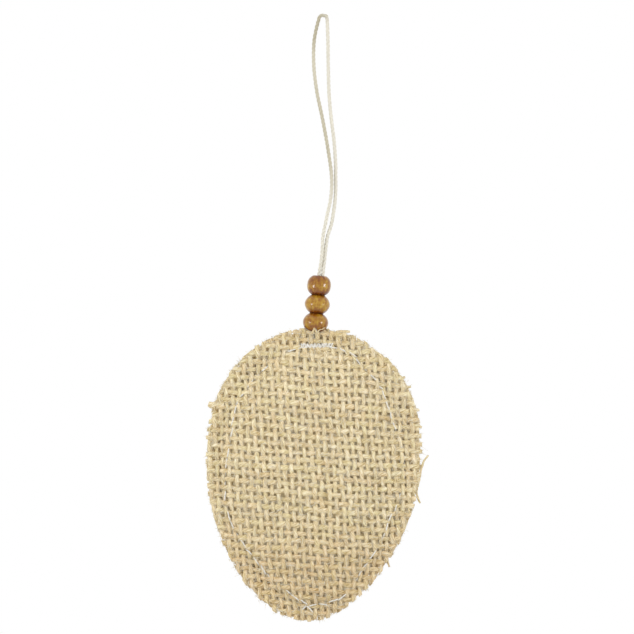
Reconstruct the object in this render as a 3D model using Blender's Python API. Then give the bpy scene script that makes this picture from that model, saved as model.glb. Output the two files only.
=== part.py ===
"""Hanging jute egg: two egg-shaped panels of plain-woven jute sewn round a thin wadding pad, hung
from a doubled cord that carries three turned wooden beads.

Units are metres. +Z is up and the front of the egg faces -Y. The origin is the point where a hook
carries the hanging cord, on the inside of the top of its loop.
"""

import math

import bmesh
import bpy
from mathutils import Matrix, Vector

# Egg outline: two half superellipses that meet at the widest line
EGG_WIDTH = 0.0685
EGG_RISE = 0.0387
EGG_DROP = 0.0543
EGG_TOP_ROUNDNESS = 2.2
EGG_TIP_ROUNDNESS = 1.88
EGG_LEAN = math.radians(1.4)

# Seam: a second egg outline inside the raw edge
SEAM_MARGIN = 0.0052
SEAM_WAIST_DROP = 0.0042
SEAM_TOP_ROUNDNESS = 1.95
SEAM_TIP_ROUNDNESS = 1.7
STITCH_LENGTH = 0.0035
STITCH_RISE = 0.00015
SEAM_THREAD_DIAMETER = 0.0004

# Jute cloth: warps run up the egg and wefts run across it
JUTE_THICKNESS = 0.0011
WARP_PITCH = 0.00227
WEFT_PITCH = 0.00266
WARP_LEAN = math.radians(5.1)
WEFT_SLOPE = math.radians(2.3)
WARP_CREST = 0.00028
WEFT_CREST = 0.00008
MESH_PIT = 0.00065

# Wadding pad between the panels
PAD_THICKNESS = 0.0120
PAD_CROWN = 2.5
PAD_EDGE_SHARE = 0.93

# Hanging cord, doubled through the beads
CORD_DIAMETER = 0.0011
STRAND_GAP = 0.0001
TAIL_LENGTH = 0.0090
CORD_POINT_STEP = 0.0030
LOOP_DROP = 0.0816
LOOP_BEND_RADIUS = 0.0014
LOOP_BEND_X = 0.0002
LOOP_END_X = -0.00074

# Turned beads, from the egg upwards: name, diameter, height
BEADS = (
    ("bead_bottom", 0.0082, 0.0058),
    ("bead_middle", 0.0081, 0.0059),
    ("bead_top", 0.0076, 0.0062),
)
BEAD_FLAT_RADIUS = 0.0021
BORE_CHAMFER = 0.0003
STACK_LEAN = math.radians(5.3)
EGG_SHIFT = 0.0006

# Gap that touching faces keep
SEAT_GAP = 0.0003

# Fineness of the round forms
OUTLINE_SEGMENTS = 96
PAD_SEGMENTS = 36
PAD_RINGS = 10
BEAD_SEGMENTS = 18
BEAD_ARC_STEPS = 8

# The loop's left and right strands, from the beads up: x, y and share of the loop's drop
LEFT_STRAND = (
    (-0.00038, -0.00030, 0.951),
    (-0.00006, -0.00025, 0.904),
    (0.00015, -0.00030, 0.857),
    (0.00090, -0.00040, 0.810),
    (0.00168, -0.00048, 0.763),
    (0.00256, -0.00052, 0.716),
    (0.00295, -0.00052, 0.669),
    (0.00290, -0.00050, 0.622),
    (0.00250, -0.00035, 0.575),
    (0.00128, -0.00015, 0.480),
    (-0.00016, 0.0, 0.386),
    (-0.00176, 0.0, 0.292),
    (-0.00272, 0.0, 0.198),
    (-0.00280, 0.0, 0.110),
    (-0.00217, 0.0, 0.053),
)
RIGHT_STRAND = (
    (0.00066, 0.00030, 0.951),
    (0.00104, 0.00025, 0.904),
    (0.00162, 0.00030, 0.857),
    (0.00275, 0.00040, 0.810),
    (0.00332, 0.00048, 0.763),
    (0.00390, 0.00052, 0.716),
    (0.00420, 0.00052, 0.669),
    (0.00419, 0.00050, 0.622),
    (0.00422, 0.00035, 0.575),
    (0.00368, 0.00015, 0.480),
    (0.00272, 0.0, 0.386),
    (0.00208, 0.0, 0.292),
    (0.00186, 0.0, 0.198),
    (0.00176, 0.0, 0.110),
    (0.00166, 0.0, 0.053),
)
LOOP_BEND_TURNS = (-90, -45, 0, 45, 90)

JUTE_COLOUR = (0.64, 0.53, 0.34, 1.0)
WADDING_COLOUR = (0.85, 0.84, 0.80, 1.0)
THREAD_COLOUR = (0.88, 0.86, 0.80, 1.0)
CORD_COLOUR = (0.80, 0.75, 0.62, 1.0)
BEAD_COLOUR = (0.42, 0.21, 0.055, 1.0)

# Sizes that follow from the ones above
BORE_RADIUS = CORD_DIAMETER + STRAND_GAP / 2 + SEAT_GAP
STRAND_OFFSET = (CORD_DIAMETER + STRAND_GAP) / 2
STACK_HEIGHT = sum(height + SEAT_GAP for _, _, height in BEADS)
STACK_UP = Vector((math.sin(STACK_LEAN), 0.0, math.cos(STACK_LEAN)))
STACK_BASE = Vector((LOOP_END_X, 0.0, -LOOP_DROP)) - STACK_HEIGHT * STACK_UP
EGG_TOP = STACK_BASE + Vector((EGG_SHIFT, 0.0, 0.0))
EGG_PLACE = Matrix.Translation(EGG_TOP) @ Matrix.Rotation(EGG_LEAN, 4, "Y") @ Matrix.Translation(
    (0.0, 0.0, -EGG_RISE)
)
STACK_PLACE = Matrix.Translation(STACK_BASE) @ Matrix.Rotation(STACK_LEAN, 4, "Y")
CORD_SWELL = CORD_DIAMETER / 2 + SEAT_GAP / 2
SWELL_HALF_WIDTH = 1.5 * BORE_RADIUS
SWELL_FADE_WIDTH = 3 * BORE_RADIUS


def clear_scene():
    """Removes everything that the scene starts with."""
    for obj in list(bpy.data.objects):
        bpy.data.objects.remove(obj, do_unlink=True)


def plain_material(name, colour, roughness):
    """A plain Principled material."""
    material = bpy.data.materials.new(name)
    material.use_nodes = True
    shader = material.node_tree.nodes["Principled BSDF"]
    shader.inputs["Base Color"].default_value = colour
    shader.inputs["Roughness"].default_value = roughness
    return material


def add_object(name, data, place, material=None):
    """Puts a mesh or curve into the scene at its place."""
    obj = bpy.data.objects.new(name, data)
    bpy.context.scene.collection.objects.link(obj)
    obj.matrix_world = place
    if material:
        data.materials.append(material)
    return obj


def mesh_of(name, bm):
    """Turns a bmesh into mesh data with its faces pointing out."""
    bm.normal_update()
    bmesh.ops.recalc_face_normals(bm, faces=bm.faces)
    mesh = bpy.data.meshes.new(name)
    bm.to_mesh(mesh)
    bm.free()
    return mesh


def cutter(name, bm, place):
    """A helper that only shapes other pieces."""
    obj = add_object(name, mesh_of(name, bm), place)
    obj.hide_render = True
    obj.display_type = "WIRE"
    return obj


def shape_with(obj, operation, tool):
    """Adds a Boolean modifier."""
    modifier = obj.modifiers.new(tool.name, "BOOLEAN")
    modifier.operation = operation
    modifier.solver = "EXACT"
    modifier.object = tool


def smoothstep(value):
    value = min(max(value, 0.0), 1.0)
    return value * value * (3.0 - 2.0 * value)


def level(across, up, half_width, rise, drop, top_roundness, tip_roundness):
    """How far out a point lies on an egg: 0 at its middle, 1 on its outline."""
    height, power = (rise, top_roundness) if up >= 0 else (drop, tip_roundness)
    return (abs(across / half_width) ** power + abs(up / height) ** power) ** (1.0 / power)


def edge_level(across, up):
    """Level on the egg of the raw edge."""
    return level(
        across, up, EGG_WIDTH / 2, EGG_RISE, EGG_DROP, EGG_TOP_ROUNDNESS, EGG_TIP_ROUNDNESS
    )


def seam_level(across, up):
    """Level on the egg of the seam, whose widest line lies lower."""
    return level(
        across,
        up + SEAM_WAIST_DROP,
        EGG_WIDTH / 2 - SEAM_MARGIN,
        EGG_RISE - SEAM_MARGIN + SEAM_WAIST_DROP,
        EGG_DROP - SEAM_MARGIN - SEAM_WAIST_DROP,
        SEAM_TOP_ROUNDNESS,
        SEAM_TIP_ROUNDNESS,
    )


def on_seam(angle, share=1.0):
    """The point (across, up) in a direction from the seam egg's middle, at a share of its size."""
    across, up = math.cos(angle), math.sin(angle)
    reach = share / seam_level(across, up - SEAM_WAIST_DROP)
    return across * reach, up * reach - SEAM_WAIST_DROP


def puff(share):
    """How full the pad is at a share of the seam egg: 1 in the middle, 0 on the seam."""
    return 1.0 - min(share, 1.0) ** PAD_CROWN


def swell(across, up):
    """How far the cloth stands out where it passes over the cord's two ends."""
    outside = abs(across + EGG_SHIFT) - SWELL_HALF_WIDTH
    beside = smoothstep(1.0 - outside / SWELL_FADE_WIDTH)
    above_ends = up - EGG_RISE + TAIL_LENGTH
    below = smoothstep(above_ends / (TAIL_LENGTH - SEAM_MARGIN) + 0.5)
    return CORD_SWELL * beside * below * (1.0 - puff(seam_level(across, up)))


def cloth_face(across, up):
    """Middle height of the woven face above the plane where the panels meet."""
    inner = SEAT_GAP / 2 + (PAD_THICKNESS / 2 + SEAT_GAP / 2) * puff(seam_level(across, up))
    return inner + JUTE_THICKNESS + swell(across, up)


def woven_slab():
    """A closed slab, larger than the egg, whose upper face is the weave: crests where yarns cross
    and pits in the mesh between them. Along a yarn the crests of the other set stand lower."""
    columns = 2 * math.ceil(EGG_WIDTH / 2 / WARP_PITCH + 3)
    rows = 2 * math.ceil((EGG_RISE + EGG_DROP) / 2 / WEFT_PITCH + 3)
    middle = (EGG_RISE - EGG_DROP) / 2
    bm = bmesh.new()
    bmesh.ops.create_grid(bm, x_segments=columns, y_segments=rows, size=0.5)
    crossings = {}
    for vert in bm.verts:
        column, row = round(vert.co.x * columns), round(vert.co.y * rows)
        across = column * WARP_PITCH - math.tan(WARP_LEAN) * row * WEFT_PITCH
        up = middle + row * WEFT_PITCH - math.tan(WEFT_SLOPE) * column * WARP_PITCH
        crossings[vert] = WARP_CREST if (column + row) % 2 == 0 else WEFT_CREST
        vert.co = (across, 0.0, up)
    bmesh.ops.poke(bm, faces=bm.faces)
    rim = [edge for edge in bm.edges if edge.is_boundary]
    for vert in bm.verts:
        vert.co.y = cloth_face(vert.co.x, vert.co.z) + crossings.get(vert, -MESH_PIT)
    walls = bmesh.ops.extrude_edge_only(bm, edges=rim)["geom"]
    for vert in (item for item in walls if isinstance(item, bmesh.types.BMVert)):
        vert.co.y = SEAT_GAP / 2
    bmesh.ops.holes_fill(bm, edges=[edge for edge in bm.edges if edge.is_boundary], sides=0)
    return bm


def egg_prism():
    """The egg's outline as a block that reaches through both panels."""
    bm = bmesh.new()
    depth = PAD_THICKNESS + 4 * JUTE_THICKNESS
    ring = bmesh.ops.create_circle(bm, segments=OUTLINE_SEGMENTS, radius=1.0, cap_ends=True)
    for vert in ring["verts"]:
        reach = 1.0 / edge_level(vert.co.x, vert.co.y)
        vert.co = (vert.co.x * reach, -depth, vert.co.y * reach)
    raised = bmesh.ops.extrude_face_region(bm, geom=bm.faces[:])["geom"]
    bmesh.ops.translate(
        bm, vec=(0.0, 2 * depth, 0.0), verts=[v for v in raised if isinstance(v, bmesh.types.BMVert)]
    )
    return bm


def pillow(edge_share, clearance):
    """A crowned pad in the seam's outline, made by pressing a sphere into it. Its two faces lie the
    clearance outside the wadding's own."""
    bm = bmesh.new()
    bmesh.ops.create_uvsphere(bm, u_segments=PAD_SEGMENTS, v_segments=PAD_RINGS, radius=1.0)
    for vert in bm.verts:
        share = min(math.hypot(vert.co.x, vert.co.y), 1.0) * edge_share
        across, up = on_seam(math.atan2(vert.co.y, vert.co.x), share)
        half = PAD_THICKNESS / 2 * puff(share) + clearance * smoothstep(4 * (1.0 - share))
        side = 0.0 if abs(vert.co.z) < 1e-6 else math.copysign(1.0, vert.co.z)
        vert.co = (across, side * half, up)
    return bm


def cord_channel():
    """The room that the doubled cord needs between the panels, down to the ends of its tails."""
    bm = bmesh.new()
    bmesh.ops.create_cube(bm, size=1.0)
    deep, above = TAIL_LENGTH + SEAT_GAP, STACK_HEIGHT / 2
    scale = (2 * BORE_RADIUS, CORD_DIAMETER + 2 * SEAT_GAP, deep + above)
    bmesh.ops.scale(bm, vec=scale, verts=bm.verts)
    bmesh.ops.translate(bm, vec=(0.0, 0.0, (above - deep) / 2), verts=bm.verts)
    return bm


def make_panel(name, side, tools, material):
    """One woven panel. Side is -1 for the front and 1 for the back."""
    bm = woven_slab()
    bmesh.ops.scale(bm, vec=(1.0, side, 1.0), verts=bm.verts)
    panel = add_object(name, mesh_of(name, bm), EGG_PLACE, material)
    outline, cavity, channel = tools
    shape_with(panel, "INTERSECT", outline)
    shape_with(panel, "DIFFERENCE", cavity)
    shape_with(panel, "DIFFERENCE", channel)


def make_wadding(channel, material):
    """The pad, which gives way round the cord's tails."""
    mesh = mesh_of("wadding", pillow(PAD_EDGE_SHARE, 0.0))
    pad = add_object("wadding", mesh, EGG_PLACE, material)
    mesh.shade_smooth()
    shape_with(pad, "DIFFERENCE", channel)


def bead_profile(diameter, height):
    """Half section of a bead: a truncated ellipse round a chamfered bore."""
    radius, half = diameter / 2, height / 2
    crown = half / math.sqrt(1.0 - (BEAD_FLAT_RADIUS / radius) ** 2)
    turn = math.asin(half / crown)
    arc = [
        (radius * math.cos(angle), crown * math.sin(angle))
        for angle in (turn - 2 * turn * step / BEAD_ARC_STEPS for step in range(BEAD_ARC_STEPS + 1))
    ]
    bore = [
        (BORE_RADIUS + BORE_CHAMFER, -half),
        (BORE_RADIUS, BORE_CHAMFER - half),
        (BORE_RADIUS, half - BORE_CHAMFER),
        (BORE_RADIUS + BORE_CHAMFER, half),
    ]
    return arc + bore


def make_bead(name, diameter, height, lift, material):
    """A turned bead whose lower end is at a height up the stack."""
    bm = bmesh.new()
    verts = [bm.verts.new((x, 0.0, z)) for x, z in bead_profile(diameter, height)]
    edges = [bm.edges.new((a, b)) for a, b in zip(verts, verts[1:] + verts[:1])]
    bmesh.ops.spin(
        bm,
        geom=verts + edges,
        cent=(0.0, 0.0, 0.0),
        axis=(0.0, 0.0, 1.0),
        angle=2 * math.pi,
        steps=BEAD_SEGMENTS,
        use_merge=True,
    )
    mesh = mesh_of(name, bm)
    mesh.shade_smooth()
    mesh.set_sharp_from_angle(angle=math.radians(40))
    place = STACK_PLACE @ Matrix.Translation((0.0, 0.0, lift + height / 2))
    add_object(name, mesh, place, material)


def strand_point(side, lift):
    """A point of one strand at a height up the stack. Side is -1 for the left strand."""
    return STACK_PLACE @ Vector((side * STRAND_OFFSET, 0.0, lift))


def strand_route(side, loop_points):
    """One strand's own points: its tail in the egg, the way through the beads, and its side of the
    loop up to the bend."""
    threaded = [share * STACK_HEIGHT for share in (0.0, 0.25, 0.5, 0.75, 1.0)]
    route = [strand_point(side, lift) for lift in [-TAIL_LENGTH, -TAIL_LENGTH / 2] + threaded]
    route += [Vector((x, y, -share * LOOP_DROP)) for x, y, share in loop_points]
    return route + [loop_bend(side * 90)]


def loop_bend(turn):
    """A point of the bend over the hook: 0 degrees is its top, 90 its right end."""
    across, up = math.sin(math.radians(turn)), math.cos(math.radians(turn))
    middle = CORD_DIAMETER / 2 - LOOP_BEND_RADIUS
    return Vector((LOOP_BEND_X + LOOP_BEND_RADIUS * across, 0.0, middle + LOOP_BEND_RADIUS * up))


def cord_line():
    """The cord from one tail to the other, a point every few diameters."""
    left = smooth_line(strand_route(-1, LEFT_STRAND), CORD_POINT_STEP)
    right = smooth_line(strand_route(1, RIGHT_STRAND), CORD_POINT_STEP)
    return left + [loop_bend(turn) for turn in LOOP_BEND_TURNS[1:-1]] + right[::-1]


def smooth_line(points, step):
    """Evenly spaced points on a smooth curve through the given ones."""
    padded = [2 * points[0] - points[1]] + points + [2 * points[-1] - points[-2]]
    fine = []
    for before, start, end, after in zip(padded, padded[1:], padded[2:], padded[3:]):
        for part in range(12):
            t = part / 12
            fine.append(
                0.5
                * (
                    2 * start
                    + (end - before) * t
                    + (2 * before - 5 * start + 4 * end - after) * t**2
                    + (3 * start - 3 * end + after - before) * t**3
                )
            )
    fine.append(points[-1])
    return evenly_spaced(fine, step)


def evenly_spaced(line, step):
    """Points a near-equal distance apart along a line, its two ends among them."""
    along = [0.0]
    for a, b in zip(line, line[1:]):
        along.append(along[-1] + (b - a).length)
    count = max(1, round(along[-1] / step))
    found, index = [], 0
    for number in range(count + 1):
        want = along[-1] * number / count
        while index < len(line) - 2 and along[index + 1] < want:
            index += 1
        share = (want - along[index]) / (along[index + 1] - along[index])
        found.append(line[index].lerp(line[index + 1], min(share, 1.0)))
    return found


def tube(name, points, diameter, roundness, closed, place, material):
    """A round tube along points."""
    curve = bpy.data.curves.new(name, "CURVE")
    curve.dimensions = "3D"
    curve.bevel_depth = diameter / 2
    curve.bevel_resolution = roundness
    curve.use_fill_caps = True
    spline = curve.splines.new("POLY")
    spline.points.add(len(points) - 1)
    for spot, point in zip(spline.points, points):
        spot.co = (*point, 1.0)
    spline.use_cyclic_u = closed
    return add_object(name, curve, place, material)


def make_seam_thread(name, side, material):
    """The thread that shows on one face: a ring of stitches that arch from hole to hole."""
    fine = [Vector((*on_seam(2 * math.pi * n / 720), 0.0)) for n in range(721)]
    length = sum((b - a).length for a, b in zip(fine, fine[1:]))
    stitches = round(length / STITCH_LENGTH)
    ring = evenly_spaced(fine, length / (2 * stitches))[:-1]
    lift = WARP_CREST + SEAT_GAP + SEAM_THREAD_DIAMETER / 2
    points = []
    for number, (across, up, _) in enumerate(ring):
        arch = STITCH_RISE if number % 2 else 0.0
        points.append((across, side * (cloth_face(across, up) + lift + arch), up))
    tube(name, points, SEAM_THREAD_DIAMETER, 0, True, EGG_PLACE, material)


def main():
    clear_scene()
    jute = plain_material("jute", JUTE_COLOUR, 0.95)
    wadding = plain_material("wadding", WADDING_COLOUR, 1.0)
    thread = plain_material("sewing thread", THREAD_COLOUR, 0.6)
    cotton = plain_material("cotton cord", CORD_COLOUR, 0.7)
    wood = plain_material("varnished wood", BEAD_COLOUR, 0.3)

    outline = cutter("egg_outline", egg_prism(), EGG_PLACE)
    cavity = cutter("pad_cavity", pillow(1.0, SEAT_GAP), EGG_PLACE)
    channel = cutter("cord_channel", cord_channel(), STACK_PLACE)
    make_panel("jute_front", -1, (outline, cavity, channel), jute)
    make_panel("jute_back", 1, (outline, cavity, channel), jute)
    make_wadding(channel, wadding)
    make_seam_thread("seam_thread_front", -1, thread)
    make_seam_thread("seam_thread_back", 1, thread)

    lift = SEAT_GAP
    for name, diameter, height in BEADS:
        make_bead(name, diameter, height, lift, wood)
        lift += height + SEAT_GAP

    tube("hanging_cord", cord_line(), CORD_DIAMETER, 2, False, Matrix.Identity(4), cotton)


main()
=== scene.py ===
"""Looks of the hanging jute egg: woven yarns, raw edge, seam, wadding, twisted cord and beads.

Units are metres. +Z is up, and the camera looks along +Y at the front of the egg. Yarns are laid out
in the egg's own plane, as distances across and up from its widest line.
"""

import math
import random

import bmesh
import bpy
import numpy as np
from mathutils import Matrix, Vector, noise
from mathutils.bvhtree import BVHTree


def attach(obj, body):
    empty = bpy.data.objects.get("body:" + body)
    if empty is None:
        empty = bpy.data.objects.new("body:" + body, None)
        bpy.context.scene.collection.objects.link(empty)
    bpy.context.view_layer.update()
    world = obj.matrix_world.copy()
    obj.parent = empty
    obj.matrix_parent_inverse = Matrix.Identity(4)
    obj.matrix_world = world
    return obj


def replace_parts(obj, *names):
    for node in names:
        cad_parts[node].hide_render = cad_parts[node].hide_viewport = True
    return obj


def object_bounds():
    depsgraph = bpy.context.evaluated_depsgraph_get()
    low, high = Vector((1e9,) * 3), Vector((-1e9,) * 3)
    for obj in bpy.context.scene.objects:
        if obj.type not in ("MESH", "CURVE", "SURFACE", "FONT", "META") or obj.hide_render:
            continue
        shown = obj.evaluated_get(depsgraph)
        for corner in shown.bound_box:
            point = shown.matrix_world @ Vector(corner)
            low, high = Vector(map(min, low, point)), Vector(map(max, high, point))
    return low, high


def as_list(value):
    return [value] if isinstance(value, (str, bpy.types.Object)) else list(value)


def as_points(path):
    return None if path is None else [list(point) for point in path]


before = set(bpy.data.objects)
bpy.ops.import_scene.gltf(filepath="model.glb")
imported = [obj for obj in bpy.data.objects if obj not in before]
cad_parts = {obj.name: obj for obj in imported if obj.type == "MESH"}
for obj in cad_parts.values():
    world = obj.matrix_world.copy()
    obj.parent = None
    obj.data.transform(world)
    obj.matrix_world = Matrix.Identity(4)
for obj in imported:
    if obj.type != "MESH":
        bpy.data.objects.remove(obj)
cad_low, cad_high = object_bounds()

# The photograph's frame: metres to a pixel, and the pixel of the hook point
PIXEL = 0.00032
HOOK_PIXEL = (322.0, 17.5)
PHOTO_SIDE = 634
PHOTO_MIDDLE = 316.5
LENS_MM = 200
SENSOR_MM = 36

# Egg outline and seam, as in the solids but for the cloth's top edge, which stands a little higher
EGG_WIDTH = 0.0685
EGG_HANG = 0.0387
EGG_RISE = 0.0391
EGG_DROP = 0.0543
EGG_TOP_ROUNDNESS = 2.2
EGG_TIP_ROUNDNESS = 1.88
EGG_LEAN = math.radians(1.4)
# How the hand-cut raw edge strays from the egg: direction from its middle in degrees, share of the egg
CUT_STRAYS = (
    (-180, 0.998), (-145, 1.011), (-120, 1.007), (-100, 0.998), (-80, 0.979), (-60, 0.971),
    (-45, 0.986), (-30, 0.996), (-15, 1.005), (0, 1.000), (40, 1.001), (60, 0.989), (80, 1.010),
    (100, 1.010), (120, 0.992), (150, 0.993), (180, 0.998),
)
SEAM_MARGIN = 0.0052
SEAM_WAIST_DROP = 0.0042
SEAM_TOP_ROUNDNESS = 1.95
SEAM_TIP_ROUNDNESS = 1.7

# Weave: warps run up the egg and wefts across it
WARP_PITCH = 0.00219
WEFT_PITCH = 0.00257
WARP_LEAN = math.radians(5.1)
WEFT_SLOPE = math.radians(2.3)
WARP_HALF_WIDTH = 0.00064
WEFT_HALF_WIDTH = 0.00077
WARP_FLATNESS = 0.50
WEFT_FLATNESS = 0.42
WARP_CRIMP = 0.00026
WEFT_CRIMP = 0.00023
CLOTH_LIFT = 0.00066
YARN_STEP = 0.0005
YARN_TWIST_PITCH = 0.0026
YARN_LOBES = 3
# A yarn that runs along the raw edge is cut or frays away this share of the egg further in than one
# that ends at it, and the back panel is cut this much smaller
EDGE_FRAY = 0.016
BACK_TRIM = 0.004
# Drawn for each yarn: its width's share, and the level on the egg where it is cut
YARN_SPREAD = (0.88, 1.16)
YARN_CUTS = (0.992, 1.014)
# A yarn is laid this many crossings from the middle, and this far past its cut, which then trims it
YARN_REACH = 26.0
CUT_OVERRUN = 0.014
SHORTEST_YARN = 0.005
# How far the whole weave strays from its lines, how quickly that changes, and how far one yarn strays
WEAVE_WANDER = 0.0006
WEAVE_WANDER_SCALE = 55.0
YARN_WANDER = 0.00042
# The level of a strand that isn't cut, and how far apart the strands' maps start
UNCUT = 9.0
MAP_SHIFT = 3.7

# Wadding pad
PAD_THICKNESS = 0.0120
PAD_CROWN = 2.5
PAD_SLACK = 0.72
SWELL_CAP = 0.0022
SIMULATION_SCALE = 10
SIMULATION_FRAMES = 20
PAD_VOXEL = 0.0016
PAD_REACH = 1.03
PINNED_SHARE = 0.93
# Depth of the cloth's gathers and of the pinch along the seam, and lift of the raw margin
GATHER_DEPTH = 0.0006
SEAM_PINCH = 0.0003
MARGIN_LIFT = 0.0006

# Cord and beads, as in the solids, but here the beads touch one another and the egg
CORD_DIAMETER = 0.0011
CORD_LAY_LENGTH = 0.0042
# Distance along a ply that the places of the cord's painted shade are shares of
PAINTED_SHADE_LENGTH = 0.249
STRAND_OFFSET = 0.0006
BORE_LEAN = 0.0003
TAIL_LENGTH = 0.0090
LOOP_DROP = 0.0816
LOOP_BEND_RADIUS = 0.0014
LOOP_BEND_X = 0.0002
LOOP_BEND_RISE = 0.0003
LOOP_END_X = -0.00074
BEADS = (
    ("bead_bottom", 0.0082, 0.0058, 1.9),
    ("bead_middle", 0.0081, 0.0059, 1.8),
    ("bead_top", 0.0076, 0.0062, 2.35),
)
BEAD_PALENESS = (0.04, 0.13, 0.0)
BEAD_FLAT_RADIUS = 0.0021
BORE_RADIUS = 0.00145
STACK_LEAN = math.radians(5.3)
EGG_SHIFT = 0.0006
SEAT_GAP = 0.0003

# The loop's left and right strands, from the beads up: x, y and share of the loop's drop
LEFT_STRAND = (
    (-0.00038, -0.00030, 0.951), (-0.00006, -0.00025, 0.904), (0.00015, -0.00030, 0.857),
    (0.00090, -0.00032, 0.810), (0.00168, -0.00030, 0.763), (0.00252, -0.00030, 0.716),
    (0.00292, -0.00036, 0.669), (0.00290, -0.00038, 0.622), (0.00250, -0.00030, 0.575),
    (0.00128, -0.00015, 0.480), (-0.00016, 0.0, 0.386), (-0.00176, 0.0, 0.292),
    (-0.00272, 0.0, 0.198), (-0.00280, 0.0, 0.110), (-0.00217, 0.0, 0.053),
)
RIGHT_STRAND = (
    (0.00066, 0.00030, 0.951), (0.00104, 0.00025, 0.904), (0.00162, 0.00030, 0.857),
    (0.00284, 0.00032, 0.810), (0.00352, 0.00030, 0.763), (0.00405, 0.00030, 0.716),
    (0.00424, 0.00036, 0.669), (0.00422, 0.00038, 0.622), (0.00422, 0.00030, 0.575),
    (0.00368, 0.00015, 0.480), (0.00272, 0.0, 0.386), (0.00208, 0.0, 0.292),
    (0.00186, 0.0, 0.198), (0.00176, 0.0, 0.110), (0.00166, 0.0, 0.053),
)
LOOP_BEND_TURNS = (-60, -30, 0, 30, 60)

# Yarns that hang out of the raw edge: half width, height above the egg's plane, then pixels of the
# photograph along it
STRAY_YARNS = (
    (0.00125, 0.0004, ((224, 404.5), (217, 404.8), (211.5, 404.5), (207.8, 403.5))),
    (0.00040, 0.0012, ((417, 486), (418.6, 478), (420.6, 468), (423.6, 460), (427.8, 454.6))),
    (0.00042, 0.0009, ((413, 480), (415.5, 488), (416.5, 495), (419.5, 502.5))),
    (0.00035, 0.0006, ((385, 553), (387, 560), (388.6, 566.5))),
    (0.00045, 0.0006, ((398, 379), (401, 377.4), (404.6, 376.4))),
    (0.00050, 0.0006, ((402, 388), (406, 386.6), (410.4, 386.2))),
    (0.00060, 0.0006, ((409, 408), (414, 409.5), (418.8, 409.5))),
    (0.00060, 0.0006, ((412, 424), (417, 425.5), (421.2, 427))),
    (0.00050, 0.0009, ((336, 331.5), (343, 331.0), (349.5, 331.3))),
    (0.00030, 0.0034, ((311.6, 333), (312.9, 329.8), (313.8, 327.2))),
    (0.00028, 0.0033, ((316.2, 333), (314.9, 329.9), (313.9, 327.4))),
    (0.00015, 0.0034, ((316.8, 331.5), (319, 329.4), (321.5, 328.8), (324.3, 326.8))),
)

# Loose fibres: how many on a panel's yarns and over it, their half widths, and how high they lie
YARN_FIBRES = 3600
FACE_HAIRS = 2400
FIBRE_HALF_WIDTHS = (0.00004, 0.00008)
FIBRE_LIFT = 0.00008
FIBRE_CUT = 1.005

# Seeds of the draws, to which the side's number is added
SEEDS = {"panel": 40, "strays": 34, "tufts": 60, "hairs": 70, "fibres": 75, "seam": 80, "tack": 90}

# The hand-guided course of the seam, as pixels of the photograph from the cord's ends clockwise
SEAM_COURSE = (
    (316, 345.5), (332, 345.5), (342, 348.5), (353, 355), (361, 365), (371, 376), (380.5, 388.5),
    (387, 405), (391, 419), (396.5, 432), (401, 446), (404.2, 459), (404.8, 471), (403, 481),
    (399, 494), (394, 508), (384, 531), (372, 554), (363, 566), (355.5, 579.5), (348.5, 590.5),
    (340, 598), (327, 602.5), (316, 602), (306, 604.5), (298, 598), (283, 587.4), (266.5, 573.3),
    (253.5, 556), (238.8, 538.2), (230.5, 520.4), (225.4, 500), (224.8, 480), (226.5, 455),
    (232, 425), (237.6, 402), (246, 388), (256.8, 375.5), (267.6, 364.8), (280, 354.6),
    (300, 347), (316, 345.5),
)
SEAM_TAILS = (((307.5, 603.5), (301.4, 609)), ((306.0, 604.0), (312.2, 611.2)))
# The stitches this near to this pixel lie on top of the cloth from end to end
PLAIN_STITCHES = (324, 600)
PLAIN_STITCH_REACH = 0.0066
STITCH_LENGTH = 0.0034
THREAD_HALF_WIDTH = 0.00023
HOLE_SCATTER = 0.0004
# How deep a stitch sinks among the yarns, and how far its ends dive into their holes
STITCH_SINKS = (0.0, 0.0002, 0.0004, 0.0007, 0.0009)
STITCH_DIVE = 0.0011

# Bar tack over the cord's ends, its two ends as pixels
BAR_TACK_LEFT = (300.3, 345.7)
BAR_TACK_RIGHT = (332.0, 344.7)
BAR_TACK_ROWS = (-0.00035, 0.00035)
BAR_TACK_HOLES = 6
BAR_TACK_CROSSINGS = 18
BAR_TACK_RISE = 0.0017
BAR_TACK_SCATTER = 0.0002

# Stage: name, azimuth, elevation, distance, size and power of each lamp, and if it leaves a highlight
LAMPS = (
    ("left softbox", -53, -3, 0.7, (0.19, 0.19), 1.45, True),
    ("right softbox", 56, 0, 0.7, (0.19, 0.19), 1.4, True),
    ("top softbox", -8, 59, 0.9, (0.9, 0.6), 2.6, False),
    ("left fill", -80, 0, 0.8, (0.4, 0.4), 1.2, False),
    ("right fill", 80, 0, 0.8, (0.4, 0.4), 1.1, False),
)
AMBIENT = 0.52
FLOOR_DROP = 0.07
FLOOR_GLOW = 0.50
WHITE = (1.0, 1.0, 1.0, 1.0)

# Places that follow
STACK_HEIGHT = sum(bead[2] + SEAT_GAP for bead in BEADS)
STACK_UP = Vector((math.sin(STACK_LEAN), 0.0, math.cos(STACK_LEAN)))
STACK_BASE = Vector((LOOP_END_X, 0.0, -LOOP_DROP)) - STACK_HEIGHT * STACK_UP
EGG_TOP = STACK_BASE + Vector((EGG_SHIFT, 0.0, 0.0))
EGG_PLACE = Matrix.Translation(EGG_TOP) @ Matrix.Rotation(EGG_LEAN, 4, "Y") @ Matrix.Translation(
    (0.0, 0.0, -EGG_HANG)
)
STACK_PLACE = Matrix.Translation(STACK_BASE) @ Matrix.Rotation(STACK_LEAN, 4, "Y")
FRONT, BACK = -1, 1


def photo_point(across, down):
    """The point of the hook's plane that a pixel of the photograph shows."""
    return Vector(((across - HOOK_PIXEL[0]) * PIXEL, 0.0, (HOOK_PIXEL[1] - down) * PIXEL))


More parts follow.
